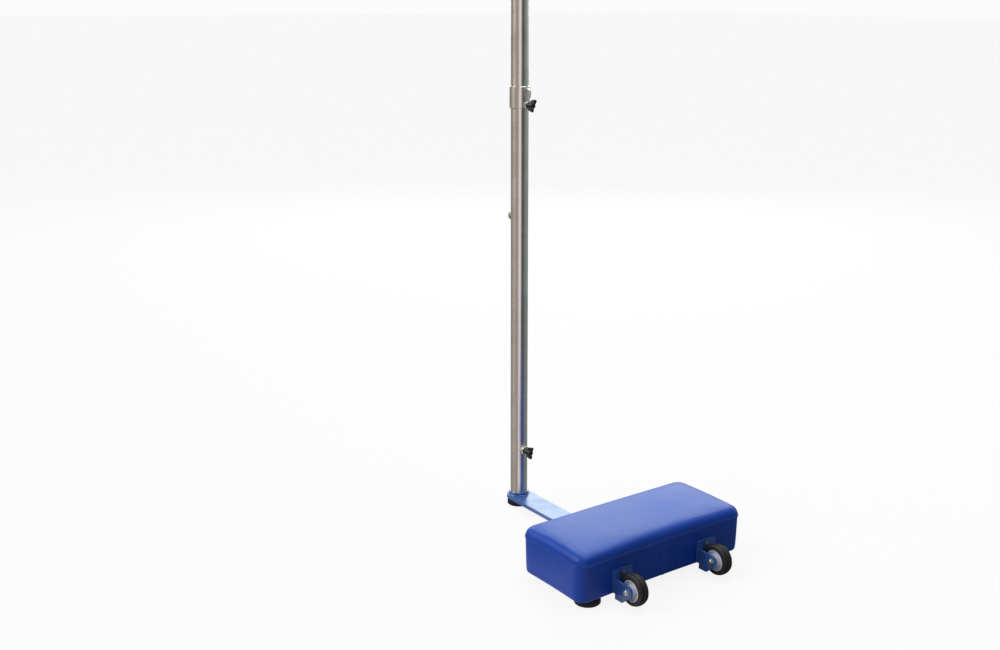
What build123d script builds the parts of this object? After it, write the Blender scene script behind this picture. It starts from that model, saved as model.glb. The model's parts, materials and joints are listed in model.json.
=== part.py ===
from build123d import *
import os
from math import cos, radians, sin, sqrt, tan

os.makedirs("parts", exist_ok=True)

# A free-standing badminton net post. The origin is on the floor on the axis of the post tube,
# +Z is up and +X runs from the post along the arm to the counterweight, away from the court.

# Heights that the game sets
cord_height = 1550.0
net_depth = 760.0

# Post tube and the spigot that carries it
tube_diameter = 45.0
tube_wall = 2.0
spigot_gap = 0.3
spigot_wall = 3.0
spigot_height = 200.0
ring_diameter = 52.0
ring_height = 8.0
key_width = 6.0
key_height = 6.0
key_gap = 0.4
weld_leg = 3.0
weld_belly = 1.8
spigot_chamfer = 2.0

# Arm, a flat bar
arm_width = 65.0
arm_thickness = 10.0
arm_inset = 50.0
arm_chamfer = 1.0

# Rubber feet
foot_diameter = 62.0
foot_neck = 54.0
foot_height = 18.0
foot_belly = 8.0
foot_edge = 1.5
foot_plate = 34.0
foot_plate_thickness = 3.0
foot_plate_height = 6.0
foot_stud = 10.0
foot_stud_bite = 18.0
outer_foot_side_inset = 37.0
outer_foot_end_inset = 50.0

# Padded counterweight block
block_x = 476.0
block_width = 232.0
block_length = 510.0
block_corner = 30.0
draw_angle = 2.2
block_top = 136.0
edge_radius = 20.0
crown_along = 4.0
crown_across = 4.0
side_lean = 3.0
hem_radius = 5.0
hem_width = 12.0
cover_thickness = 2.0
seam_height = 110.0
lining_gap = 0.3
welt_height = 3.0
welt_proud = 1.2

# Iron weights and the board under them
weight_count = 3
screwed_layers = 2
foam_side = 24.0
foam_end = 35.0
weight_thickness = 25.0
weight_corner = 12.0
weight_edge = 1.5
weight_gap = 0.2
board_thickness = 10.0
board_gap = 0.5
foam_gap = 0.5

# Bolts through the weights
bolt_diameter = 12.0
bolt_head = 24.0
bolt_head_height = 6.0
bolt_hole_gap = 0.5
bolt_spare = 3.0
bolt_edge = 1.0
nut_flats = 18.0
nut_height = 10.0
bolt_washer = 26.0
bolt_washer_thickness = 2.0
arm_bolt_spacing = 100.0
board_bolt_side_inset = 37.0
board_bolt_end_inset = 65.0
pocket_gap = 2.0

# Nut inside the spigot for the stud of the post foot
foot_nut_flats = 17.0
foot_nut_height = 8.0
thread_gap = 0.05

# Wheels
wheel_diameter = 76.0
wheel_width = 24.0
wheel_end_inset = 123.0
wheel_floor_gap = 3.0
wheel_plate_gap = 3.0
rim_diameter = 51.0
rim_lip = 3.0
rim_web = 16.0
hub_diameter = 26.0
hub_length = 33.0
tyre_crown = 3.0
tyre_groove = 2.0
tyre_groove_spacing = 9.6
bush_wall = 2.0
fit_gap = 0.05
axle_diameter = 8.0
axle_head_flats = 13.0
axle_head_height = 5.5
axle_dome = 2.0
axle_nut_height = 6.5
axle_washer = 17.0
axle_washer_thickness = 1.5
axle_spare = 3.0

# Wheel brackets
bracket_thickness = 5.0
bracket_width = 58.0
bracket_top = 79.0
bracket_bottom = 22.0
bracket_corner = 6.0
bracket_sink = 4.0
lug_radius = 15.0
lug_bottom = 8.0
lug_rise = 40.0
bracket_screw = 8.0
bracket_screw_head = 15.0
bracket_screw_head_height = 3.5
bracket_screw_bite = 24.0
spacer_diameter = 16.0
hole_gap = 0.3

# Wing screws, one on the collar and one at the foot of the tube
screw_diameter = 8.0
screw_tip = 6.0
screw_tip_length = 3.0
tip_gap = 0.1
wing_start = 5.0
wing_hub = 17.0
wing_hub_tip = 13.0
wing_length = 19.0
wing_span = 33.0
wing_thickness = 6.5
wing_root = 6.0
wing_corner = 4.0
screw_into_wing = 12.0
lock_height = 160.0
lock_wing_angle = 10.0
lock_boss = 23.0
lock_boss_length = 9.0
boss_edge = 1.0

# Tension collar on the tube
collar_height = 1095.0
collar_length = 54.0
collar_gap = 0.3
liner_thickness = 0.8
liner_inset = 2.0
sleeve_wall = 2.2
collar_edge = 0.8
tension_boss = 16.0
tension_boss_length = 8.0
tension_drop = 18.5
tension_wing_angle = 22.0
hook_rod = 6.0
hook_rise = 22.0
hook_reach = 20.0
hook_bend = 9.0
hook_drop = 6.0
hook_curl = 5.0
hook_curl_angle = 50.0

# Stud for the cord at the bottom of the net
stud_head = 22.0
stud_neck = 11.0
stud_length = 14.0
stud_head_length = 4.5
stud_flange = 17.0
stud_flange_length = 2.0
stud_edge = 1.2
stud_screw = 5.0
stud_screw_head = 9.0
insert_diameter = 9.0
insert_length = 14.0
insert_flange = 13.0
insert_flange_length = 4.5

# Pulley at the top of the post and the fitting that carries it
pulley_diameter = 42.0
groove_depth = 3.0
groove_width = 7.0
pulley_width = 12.0
pulley_x = 8.0
pulley_bush = 10.0
pulley_pin = 6.0
pin_head = 10.0
pin_head_length = 2.0
pin_spare = 3.0
pulley_side_gap = 0.8
bush_side_gap = 0.2
cap_flange_thickness = 4.0
cap_flange_proud = 1.0
cap_depth = 25.0
cap_gap = 0.1
pulley_cap_gap = 2.0
cheek_thickness = 5.0
cheek_margin = 8.0
clip_diameter = 11.0
clip_thickness = 1.2
clip_mouth = 4.1
pin_groove = 4.6

# Places worked out from the sizes above
tube_radius = tube_diameter / 2
tube_bore = tube_radius - tube_wall
spigot_radius = tube_bore - spigot_gap
arm_top = foot_height + arm_thickness
ring_top = arm_top + ring_height
board_top = foot_height + board_thickness
weights_top = arm_top + weight_count * weight_thickness
block_outer_x = block_x + block_width / 2
block_end_y = block_length / 2
arm_end_x = block_outer_x - arm_inset
weight_width = block_width - 2 * foam_side
weight_length = block_length - 2 * foam_end
board_bolt_x = weight_width / 2 - board_bolt_side_inset
board_bolt_y = weight_length / 2 - board_bolt_end_inset
outer_foot_x = block_outer_x - outer_foot_side_inset
outer_foot_y = block_end_y - outer_foot_end_inset
wheel_y = block_end_y - wheel_end_inset
weight_outer_x = block_x + weight_width / 2
plate_inner_x = block_outer_x - bracket_sink
plate_outer_x = plate_inner_x + bracket_thickness
wheel_radius = wheel_diameter / 2
axle_x = plate_outer_x + wheel_plate_gap + wheel_radius
axle_z = wheel_floor_gap + wheel_radius
lug_inner = hub_length / 2 + axle_washer_thickness + fit_gap
lug_outer = lug_inner + bracket_thickness
lug_side_x = axle_x + lug_radius * sin(radians(lug_rise))
lug_side_z = axle_z - lug_radius * cos(radians(lug_rise))
lug_toe_x = lug_side_x - (lug_side_z - lug_bottom) / tan(radians(lug_rise))
groove_radius = pulley_diameter / 2 - groove_depth
pulley_z = cord_height - groove_radius
cap_top = pulley_z - pulley_diameter / 2 - pulley_cap_gap
tube_top = cap_top - cap_flange_thickness
cheek_inner = pulley_width / 2 + pulley_side_gap
cheek_outer = cheek_inner + cheek_thickness
stud_z = cord_height - net_depth
liner_bore = tube_radius + collar_gap
sleeve_bore = liner_bore + liner_thickness + fit_gap
sleeve_radius = sleeve_bore + sleeve_wall
tension_z = collar_height - tension_drop
hole_radius = screw_diameter / 2 + hole_gap
bolt_places = [(block_x + side * arm_bolt_spacing / 2, 0) for side in (-1, 1)]
bolt_places += [
    (block_x + side_x * board_bolt_x, side_y * board_bolt_y)
    for side_x in (-1, 1)
    for side_y in (-1, 1)
]
outer_foot_places = [(outer_foot_x, side * outer_foot_y) for side in (1, -1)]
foot_places = [(0, 0)] + outer_foot_places
wheel_sides = {"left": 1, "right": -1}
weight_mid_heights = [arm_top + weight_thickness * (layer + 0.5) for layer in range(screwed_layers)]
bracket_screw_places = [
    (side * wheel_y, height) for side in wheel_sides.values() for height in weight_mid_heights
]


def block_outline(height, inset):
    """Plan of the padded block at one height: round corners joined by sides that draw in."""
    corner = block_corner - inset
    center_x = block_width / 2 - block_corner
    center_y = block_length / 2 - block_corner
    out = corner * cos(radians(draw_angle))
    back = corner * sin(radians(draw_angle))
    diagonal = corner * cos(radians(45))
    draw = tan(radians(draw_angle / 2))
    side_x = center_x + out
    side_y = center_y - back
    side_middle = side_x - side_y * draw
    end_x = center_x - back
    end_y = center_y + out
    end_middle = end_y - end_x * draw
    with BuildSketch(Plane(origin=(block_x, 0, height))) as outline:
        with BuildLine():
            for turn in (1, -1):
                ThreePointArc(
                    (-turn * end_x, -turn * end_y),
                    (0, -turn * end_middle),
                    (turn * end_x, -turn * end_y),
                )
                ThreePointArc(
                    (turn * end_x, -turn * end_y),
                    (turn * (center_x + diagonal), -turn * (center_y + diagonal)),
                    (turn * side_x, -turn * side_y),
                )
                ThreePointArc(
                    (turn * side_x, -turn * side_y),
                    (turn * side_middle, 0),
                    (turn * side_x, turn * side_y),
                )
                ThreePointArc(
                    (turn * side_x, turn * side_y),
                    (turn * (center_x + diagonal), turn * (center_y + diagonal)),
                    (turn * end_x, turn * end_y),
                )
        make_face()
    return outline.sketch


def block_form(depth):
    """Cushion form of the block: sides lean in to the hem, and the crowned top has round edges."""
    bottom = foot_height + depth
    top = block_top - depth
    along_radius = (block_length / 2) ** 2 / (2 * crown_along)
    across_radius = (block_width / 2) ** 2 / (2 * crown_across)
    crown_sag = across_radius - sqrt(across_radius**2 - block_width**2)
    axis_z = top - along_radius
    far_z = axis_z - along_radius
    with BuildPart() as form:
        loft(
            sections=[
                block_outline(bottom, depth + side_lean),
                block_outline(block_top, depth),
            ]
        )
        with BuildSketch(Plane.XZ):
            with BuildLine():
                ThreePointArc(
                    (block_x - block_width, far_z + crown_sag),
                    (block_x, far_z),
                    (block_x + block_width, far_z + crown_sag),
                )
                Polyline(
                    (block_x + block_width, far_z + crown_sag),
                    (block_x + block_width, axis_z - along_radius / 2),
                    (block_x - block_width, axis_z - along_radius / 2),
                    (block_x - block_width, far_z + crown_sag),
                )
            make_face()
        revolve(axis=Axis((0, 0, axis_z), (1, 0, 0)), mode=Mode.INTERSECT)
        fillet(form.faces().sort_by(Axis.Z)[-1].edges(), edge_radius - depth)
        fillet(form.faces().sort_by(Axis.Z)[0].edges(), hem_radius - depth)
    return form.part


# Arm, welded to the spigot and bolted under the weights
with BuildPart() as base_arm:
    with BuildSketch(Plane.XY.offset(foot_height)):
        Circle(arm_width / 2)
        with Locations((arm_end_x / 2, 0)):
            Rectangle(arm_end_x, arm_width)
    extrude(amount=arm_thickness)
    chamfer(base_arm.faces().sort_by(Axis.Z)[-1].edges(), arm_chamfer)
    with Locations((0, 0, arm_top)):
        Hole(foot_stud / 2 + hole_gap)
    with Locations(Plane.XY.offset(foot_height).rotated((180, 0, 0))):
        with Locations(*[(x, -y) for x, y in bolt_places[:2]]):
            CounterSinkHole(
                bolt_diameter / 2 + bolt_hole_gap,
                bolt_head / 2 + bolt_hole_gap,
                counter_sink_angle=90,
            )
base_arm.part.label = "base_arm"
export_step(base_arm.part, "parts/base_arm.step")

# Spigot, a short tube that the post drops over
with BuildPart() as spigot:
    with BuildSketch(Plane.XY.offset(arm_top)):
        Circle(spigot_radius)
        Circle(spigot_radius - spigot_wall, mode=Mode.SUBTRACT)
    extrude(amount=spigot_height)
    chamfer(spigot.edges().group_by(Axis.Z)[-1].sort_by(SortBy.LENGTH)[-1], spigot_chamfer)
spigot.part.label = "spigot"
export_step(spigot.part, "parts/spigot.step")

# Ring that the tube stands on, with a key that keeps the post from turning
with BuildPart() as spigot_ring:
    with BuildSketch(Plane.XY.offset(arm_top)):
        Circle(ring_diameter / 2)
        Circle(spigot_radius + fit_gap, mode=Mode.SUBTRACT)
    extrude(amount=ring_height)
    chamfer(spigot_ring.edges().group_by(Axis.Z)[-1].sort_by(SortBy.LENGTH)[-1], arm_chamfer)
    with BuildSketch(Plane.XY.offset(ring_top)):
        with Locations((-tube_bore, 0)):
            Rectangle(2 * tube_wall, key_width)
        Circle(spigot_radius + fit_gap, mode=Mode.SUBTRACT)
    extrude(amount=key_height)
spigot_ring.part.label = "spigot_ring"
export_step(spigot_ring.part, "parts/spigot_ring.step")

# Weld bead round the foot of the ring
with BuildPart() as base_weld:
    with BuildSketch(Plane.XZ):
        with BuildLine():
            Polyline(
                (ring_diameter / 2, arm_top + weld_leg),
                (ring_diameter / 2, arm_top),
                (ring_diameter / 2 + weld_leg, arm_top),
            )
            ThreePointArc(
                (ring_diameter / 2 + weld_leg, arm_top),
                (ring_diameter / 2 + weld_belly, arm_top + weld_belly),
                (ring_diameter / 2, arm_top + weld_leg),
            )
        make_face()
    revolve(axis=Axis.Z)
base_weld.part.label = "base_weld"
export_step(base_weld.part, "parts/base_weld.step")

# Nut welded inside the spigot for the screw of the post foot
with BuildPart() as spigot_nut:
    with BuildSketch(Plane.XY.offset(arm_top)):
        RegularPolygon(foot_nut_flats / 2, 6, major_radius=False)
        Circle(foot_stud / 2 + thread_gap, mode=Mode.SUBTRACT)
    extrude(amount=foot_nut_height)
spigot_nut.part.label = "spigot_nut"
export_step(spigot_nut.part, "parts/spigot_nut.step")

# Board that closes the underside of the block, slotted for the arm
with BuildPart() as base_board:
    add(block_outline(foot_height, hem_width))
    extrude(amount=board_thickness)
    with BuildSketch(Plane.XY.offset(foot_height)):
        with Locations((arm_end_x / 2 + board_gap, 0)):
            Rectangle(arm_end_x, arm_width + 2 * board_gap)
    extrude(amount=board_thickness, mode=Mode.SUBTRACT)
    with Locations(Plane.XY.offset(foot_height).rotated((180, 0, 0))):
        with Locations(*[(x, -y) for x, y in bolt_places[2:]]):
            CounterSinkHole(
                bolt_diameter / 2 + bolt_hole_gap,
                bolt_head / 2 + bolt_hole_gap,
                counter_sink_angle=90,
            )
        with Locations(*[(x, -y) for x, y in outer_foot_places]):
            Hole(foot_stud / 2 + hole_gap)
base_board.part.label = "base_board"
export_step(base_board.part, "parts/base_board.step")

# Cast iron weights, stacked on the arm and the board
for layer in range(weight_count):
    bottom = arm_top + layer * weight_thickness
    with BuildPart() as weight:
        with BuildSketch(Plane.XY.offset(bottom)):
            with Locations((block_x, 0)):
                RectangleRounded(weight_width, weight_length, weight_corner)
            with Locations(*bolt_places):
                Circle(bolt_diameter / 2 + bolt_hole_gap, mode=Mode.SUBTRACT)
            if layer == 0:
                with Locations(*outer_foot_places):
                    Circle(foot_stud / 2 + thread_gap, mode=Mode.SUBTRACT)
        extrude(amount=weight_thickness - weight_gap)
        chamfer(weight.faces().sort_by(Axis.Z)[-1].outer_wire().edges(), weight_edge)
        if layer < len(weight_mid_heights):
            with BuildSketch(Plane.YZ.offset(weight_outer_x)):
                with Locations(*[(side * wheel_y, weight_mid_heights[layer]) for side in (-1, 1)]):
                    Circle(bracket_screw / 2 + thread_gap)
            extrude(amount=-bracket_screw_bite - bolt_spare, mode=Mode.SUBTRACT)
    weight.part.label = f"weight_plate_{layer + 1}"
    export_step(weight.part, f"parts/weight_plate_{layer + 1}.step")

# Countersunk bolts that clamp the arm, the board and the weights
bolt_end = weights_top + bolt_washer_thickness + nut_height + bolt_spare
with BuildPart() as bolt:
    with BuildSketch(Plane.XZ):
        with BuildLine():
            Polyline(
                (0, foot_height),
                (bolt_head / 2, foot_height),
                (bolt_diameter / 2, foot_height + bolt_head_height),
                (bolt_diameter / 2, bolt_end - bolt_edge),
                (bolt_diameter / 2 - bolt_edge, bolt_end),
                (0, bolt_end),
                close=True,
            )
        make_face()
    revolve(axis=Axis.Z)
with BuildPart() as weight_bolts:
    with Locations(*bolt_places):
        add(bolt.part)
weight_bolts.part.label = "weight_bolts"
export_step(weight_bolts.part, "parts/weight_bolts.step")

with BuildPart() as weight_washers:
    with BuildSketch(Plane.XY.offset(weights_top)):
        with Locations(*bolt_places):
            Circle(bolt_washer / 2)
            Circle(bolt_diameter / 2 + hole_gap, mode=Mode.SUBTRACT)
    extrude(amount=bolt_washer_thickness)
weight_washers.part.label = "weight_washers"
export_step(weight_washers.part, "parts/weight_washers.step")

with BuildPart() as weight_nuts:
    with BuildSketch(Plane.XY.offset(weights_top + bolt_washer_thickness)):
        with Locations(*bolt_places):
            RegularPolygon(nut_flats / 2, 6, major_radius=False)
            Circle(bolt_diameter / 2 + thread_gap, mode=Mode.SUBTRACT)
    extrude(amount=nut_height)
weight_nuts.part.label = "weight_nuts"
export_step(weight_nuts.part, "parts/weight_nuts.step")

# Foam jacket between the weights and the cover
pocket_top = bolt_end + pocket_gap
with BuildPart() as foam_jacket:
    add(block_form(cover_thickness + lining_gap))
    with BuildSketch(Plane.XY):
        with Locations((block_x, 0)):
            Rectangle(2 * block_width, 2 * block_length)
    extrude(amount=board_top + lining_gap, mode=Mode.SUBTRACT)
    with BuildSketch(Plane.XY.offset(board_top)):
        with Locations((block_x, 0)):
            RectangleRounded(weight_width + foam_gap, weight_length + foam_gap, weight_corner)
    extrude(amount=weights_top - board_top + foam_gap, mode=Mode.SUBTRACT)
    with BuildSketch(Plane.XY.offset(weights_top)):
        with Locations(*bolt_places):
            Circle(bolt_washer / 2 + pocket_gap)
    extrude(amount=pocket_top - weights_top, mode=Mode.SUBTRACT)
    with BuildSketch(Plane.YZ.offset(weight_outer_x)):
        with Locations(*bracket_screw_places):
            Circle(spacer_diameter / 2 + foam_gap)
    extrude(amount=block_width, mode=Mode.SUBTRACT)
foam_jacket.part.label = "foam_jacket"
export_step(foam_jacket.part, "parts/foam_jacket.step")

# Vinyl cover, cut away at the arm and pressed in under the wheel brackets
with BuildPart() as vinyl_cover:
    add(block_form(0))
    add(block_form(cover_thickness), mode=Mode.SUBTRACT)
    add(block_outline(foot_height, hem_width - lining_gap))
    extrude(amount=board_thickness, mode=Mode.SUBTRACT)
    with BuildSketch(Plane.XY.offset(foot_height)):
        with Locations((block_x / 2, 0)):
            Rectangle(block_x, arm_width + 2 * board_gap)
    extrude(amount=arm_thickness + board_gap, mode=Mode.SUBTRACT)
    with BuildSketch(Plane.YZ.offset(weight_outer_x)):
        with Locations(*bracket_screw_places):
            Circle(spacer_diameter / 2 + foam_gap)
    extrude(amount=block_width, mode=Mode.SUBTRACT)
    bracket_mid = (bracket_top + bracket_bottom) / 2
    with BuildSketch(Plane.YZ.offset(plate_inner_x)):
        with Locations(*[(side * wheel_y, bracket_mid) for side in wheel_sides.values()]):
            Rectangle(bracket_width + 2 * hole_gap, bracket_top - bracket_bottom + 2 * hole_gap)
    extrude(amount=block_width, mode=Mode.SUBTRACT)
vinyl_cover.part.label = "vinyl_cover"
export_step(vinyl_cover.part, "parts/vinyl_cover.step")

# Welt sewn round the cover where the top panel meets the side band
with BuildPart() as cover_welt:
    add(block_outline(seam_height - welt_height, -welt_proud))
    extrude(amount=welt_height)
    add(block_outline(seam_height - welt_height, 0))
    extrude(amount=welt_height, mode=Mode.SUBTRACT)
cover_welt.part.label = "cover_welt"
export_step(cover_welt.part, "parts/cover_welt.step")


def foot_profile():
    """Half section of a rubber foot, moulded round the plate and stud inside it."""
    plate_bottom = foot_plate_height - fit_gap
    plate_top = foot_plate_height + foot_plate_thickness + fit_gap
    with BuildSketch(Plane.XZ) as profile:
        with BuildLine():
            Polyline(
                (foot_stud / 2 + fit_gap, foot_height),
                (foot_stud / 2 + fit_gap, plate_top),
                (foot_plate / 2 + fit_gap, plate_top),
                (foot_plate / 2 + fit_gap, plate_bottom),
                (0, plate_bottom),
                (0, 0),
                (foot_diameter / 2 - foot_edge, 0),
                (foot_diameter / 2, foot_edge),
                (foot_diameter / 2, foot_belly),
            )
            ThreePointArc(
                (foot_diameter / 2, foot_belly),
                (foot_diameter / 2 - foot_edge, (foot_belly + foot_height) / 2),
                (foot_neck / 2, foot_height),
            )
            Line((foot_neck / 2, foot_height), (foot_stud / 2 + fit_gap, foot_height))
        make_face()
    return profile.sketch


# Feet: one under the post, two under the outer corners of the block
for name, place in zip(("post_foot", "outer_foot_left", "outer_foot_right"), foot_places):
    with BuildPart() as foot:
        with Locations(place):
            add(revolve(foot_profile(), axis=Axis.Z, mode=Mode.PRIVATE))
    foot.part.label = name
    export_step(foot.part, f"parts/{name}.step")

# Plates with studs moulded into the feet, screwed into the spigot nut and the lowest weight
stud_tops = [arm_top + foot_nut_height] + 2 * [arm_top + foot_stud_bite]
with BuildPart() as foot_studs:
    with BuildSketch(Plane.XY.offset(foot_plate_height)):
        with Locations(*foot_places):
            Circle(foot_plate / 2)
    extrude(amount=foot_plate_thickness)
    for place, top in zip(foot_places, stud_tops):
        with BuildSketch(Plane.XY.offset(foot_plate_height)):
            with Locations(place):
                Circle(foot_stud / 2)
        extrude(amount=top - foot_plate_height)
foot_studs.part.label = "foot_studs"
export_step(foot_studs.part, "parts/foot_studs.step")

# Wheel brackets, axles and wheels, one set on each side of the arm
for side_name, side in wheel_sides.items():
    middle = Plane.XZ.offset(-side * wheel_y)
    with BuildPart() as bracket:
        with BuildSketch(Plane.YZ.offset(plate_inner_x)):
            with Locations((side * wheel_y, (bracket_top + bracket_bottom) / 2)):
                RectangleRounded(bracket_width, bracket_top - bracket_bottom, bracket_corner)
            with Locations(*[(side * wheel_y, height) for height in weight_mid_heights]):
                Circle(bracket_screw / 2 + hole_gap, mode=Mode.SUBTRACT)
        extrude(amount=bracket_thickness)
        with BuildSketch(middle):
            with BuildLine():
                Polyline(
                    (axle_x, axle_z + lug_radius),
                    (plate_outer_x, axle_z + lug_radius),
                    (plate_outer_x, lug_bottom),
                    (lug_toe_x, lug_bottom),
                    (lug_side_x, lug_side_z),
                )
                ThreePointArc(
                    (lug_side_x, lug_side_z),
                    (axle_x + lug_radius, axle_z),
                    (axle_x, axle_z + lug_radius),
                )
            make_face()
            with Locations((axle_x, axle_z)):
                Circle(axle_diameter / 2 + thread_gap, mode=Mode.SUBTRACT)
        extrude(amount=lug_outer, both=True)
        with BuildSketch(middle):
            with Locations((axle_x, axle_z)):
                Rectangle(2 * (axle_x - plate_outer_x), 2 * (axle_z + lug_radius))
        extrude(amount=lug_inner, both=True, mode=Mode.SUBTRACT)
        with Locations(Plane.YZ.offset(plate_outer_x)):
            with Locations(*[(side * wheel_y, height) for height in weight_mid_heights]):
                CounterSinkHole(
                    bracket_screw / 2 + hole_gap,
                    bracket_screw_head / 2 + hole_gap,
                    counter_sink_angle=90,
                )
    bracket.part.label = f"wheel_bracket_{side_name}"
    export_step(bracket.part, f"parts/wheel_bracket_{side_name}.step")

    # Axle bolt with a domed head, its head outward from the arm on the -Y side of each wheel
    head_face = -side * wheel_y + lug_outer + axle_washer_thickness
    nut_face = -side * wheel_y - lug_outer - axle_washer_thickness
    shank_length = head_face - nut_face + axle_nut_height + axle_spare
    with BuildPart() as axle:
        with BuildSketch(Plane.XZ.offset(head_face)):
            with Locations((axle_x, axle_z)):
                RegularPolygon(axle_head_flats / 2, 6, major_radius=False)
        extrude(amount=axle_head_height - axle_dome)
        with BuildSketch(Plane.XZ.offset(head_face + axle_head_height - axle_dome)):
            with Locations((axle_x, axle_z)):
                Circle(axle_head_flats / 2)
        extrude(amount=axle_dome, taper=45)
        with BuildSketch(Plane.XZ.offset(head_face)):
            with Locations((axle_x, axle_z)):
                Circle(axle_diameter / 2)
        extrude(amount=-shank_length)
    axle.part.label = f"axle_bolt_{side_name}"
    export_step(axle.part, f"parts/axle_bolt_{side_name}.step")

    # Hub with the rim, turned about the axle
    rim_radius = rim_diameter / 2
    bush_outer = axle_diameter / 2 + fit_gap + bush_wall
    with BuildPart() as hub:
        with BuildSketch(Plane.XY):
            with BuildLine():
                Polyline(
                    (bush_outer + fit_gap, -hub_length / 2),
                    (hub_diameter / 2 - boss_edge, -hub_length / 2),
                    (hub_diameter / 2, boss_edge - hub_length / 2),
                    (hub_diameter / 2 + boss_edge, -rim_web / 2),
                    (rim_radius - rim_lip, -rim_web / 2),
                    (rim_radius - rim_lip + boss_edge, -wheel_width / 2),
                    (rim_radius, -wheel_width / 2),
                    (rim_radius, wheel_width / 2),
                    (rim_radius - rim_lip + boss_edge, wheel_width / 2),
                    (rim_radius - rim_lip, rim_web / 2),
                    (hub_diameter / 2 + boss_edge, rim_web / 2),
                    (hub_diameter / 2, hub_length / 2 - boss_edge),
                    (hub_diameter / 2 - boss_edge, hub_length / 2),
                    (bush_outer + fit_gap, hub_length / 2),
                    close=True,
                )
            make_face()
        revolve(axis=Axis.Y)
    with BuildPart() as wheel_hub:
        with Locations((axle_x, side * wheel_y, axle_z)):
            add(hub.part)
    wheel_hub.part.label = f"wheel_hub_{side_name}"
    export_step(wheel_hub.part, f"parts/wheel_hub_{side_name}.step")

    # Bush pressed into the hub
    with BuildPart() as wheel_bush:
        with BuildSketch(middle):
            with Locations((axle_x, axle_z)):
                Circle(bush_outer)
                Circle(axle_diameter / 2 + fit_gap, mode=Mode.SUBTRACT)
        extrude(amount=hub_length / 2, both=True)
    wheel_bush.part.label = f"wheel_bush_{side_name}"
    export_step(wheel_bush.part, f"parts/wheel_bush_{side_name}.step")

    # Rubber tyre with a crowned tread and two grooves
    with BuildPart() as tyre:
        with BuildSketch(Plane.XY):
            with BuildLine():
                Polyline(
                    (wheel_radius - tyre_crown, -wheel_width / 2),
                    (rim_radius + fit_gap, -wheel_width / 2),
                    (rim_radius + fit_gap, wheel_width / 2),
                    (wheel_radius - tyre_crown, wheel_width / 2),
                )
                ThreePointArc(
                    (wheel_radius - tyre_crown, wheel_width / 2),
                    (wheel_radius, 0),
                    (wheel_radius - tyre_crown, -wheel_width / 2),
                )
            make_face()
            with Locations(*[(wheel_radius, way * tyre_groove_spacing / 2) for way in (-1, 1)]):
                Rectangle(2 * tyre_groove, tyre_groove, mode=Mode.SUBTRACT)
        revolve(axis=Axis.Y)
    with BuildPart() as wheel_tyre:
        with Locations((axle_x, side * wheel_y, axle_z)):
            add(tyre.part)
    wheel_tyre.part.label = f"wheel_tyre_{side_name}"
    export_step(wheel_tyre.part, f"parts/wheel_tyre_{side_name}.step")

# Nuts and washers of both axles
with BuildPart() as axle_nuts:
    for side in wheel_sides.values():
        with BuildSketch(Plane.XZ.offset(-side * wheel_y - lug_outer - axle_washer_thickness)):
            with Locations((axle_x, axle_z)):
                RegularPolygon(axle_head_flats / 2, 6, major_radius=False)
                Circle(axle_diameter / 2 + thread_gap, mode=Mode.SUBTRACT)
        extrude(amount=-axle_nut_height)
axle_nuts.part.label = "axle_nuts"
export_step(axle_nuts.part, "parts/axle_nuts.step")

with BuildPart() as axle_washers:
    for side in wheel_sides.values():
        for start in (
            lug_outer,
            hub_length / 2 + fit_gap / 2,
            -hub_length / 2 - fit_gap / 2 - axle_washer_thickness,
            -lug_outer - axle_washer_thickness,
        ):
            with BuildSketch(Plane.XZ.offset(-side * wheel_y + start)):
                with Locations((axle_x, axle_z)):
                    Circle(axle_washer / 2)
                    Circle(axle_diameter / 2 + fit_gap, mode=Mode.SUBTRACT)
            extrude(amount=axle_washer_thickness)
axle_washers.part.label = "axle_washers"
export_step(axle_washers.part, "parts/axle_washers.step")

# Screws and spacer tubes that fix the brackets to the iron weights through the foam
with BuildPart() as one_bracket_screw:
    with BuildSketch(Plane.XY):
        with BuildLine():
            Polyline(
                (0, 0),
                (0, bracket_screw_head / 2),
                (-bracket_screw_head_height, bracket_screw / 2),
                (weight_outer_x - bracket_screw_bite - plate_outer_x, bracket_screw / 2),
                (weight_outer_x - bracket_screw_bite - plate_outer_x, 0),
                close=True,
            )
        make_face()
    revolve(axis=Axis.X)
with BuildPart() as bracket_screws:
    with Locations(*[(plate_outer_x, y, z) for y, z in bracket_screw_places]):
        add(one_bracket_screw.part)
bracket_screws.part.label = "bracket_screws"
export_step(bracket_screws.part, "parts/bracket_screws.step")

with BuildPart() as bracket_spacers:
    with BuildSketch(Plane.YZ.offset(weight_outer_x)):
        with Locations(*bracket_screw_places):
            Circle(spacer_diameter / 2)
            Circle(bracket_screw / 2 + hole_gap, mode=Mode.SUBTRACT)
    extrude(amount=plate_inner_x - weight_outer_x)
bracket_spacers.part.label = "bracket_spacers"
export_step(bracket_spacers.part, "parts/bracket_spacers.step")

# Post tube, notched over the key at its foot and drilled for the two fittings on it
with BuildPart() as post_tube:
    with BuildSketch(Plane.XY.offset(ring_top)):
        Circle(tube_radius)
        Circle(tube_bore, mode=Mode.SUBTRACT)
    extrude(amount=tube_top - ring_top)
    with BuildSketch(Plane.XY.offset(ring_top)):
        with Locations((-tube_bore, 0)):
            Rectangle(4 * tube_wall, key_width + 2 * key_gap)
    extrude(amount=key_height + key_gap, mode=Mode.SUBTRACT)
    with BuildSketch(Plane.YZ):
        with Locations((0, lock_height)):
            Circle(hole_radius)
    extrude(amount=tube_diameter, mode=Mode.SUBTRACT)
    with BuildSketch(Plane.YZ):
        with Locations((0, stud_z)):
            Circle(insert_diameter / 2 + thread_gap)
    extrude(amount=-tube_diameter, mode=Mode.SUBTRACT)
post_tube.part.label = "post_tube"
export_step(post_tube.part, "parts/post_tube.step")


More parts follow.
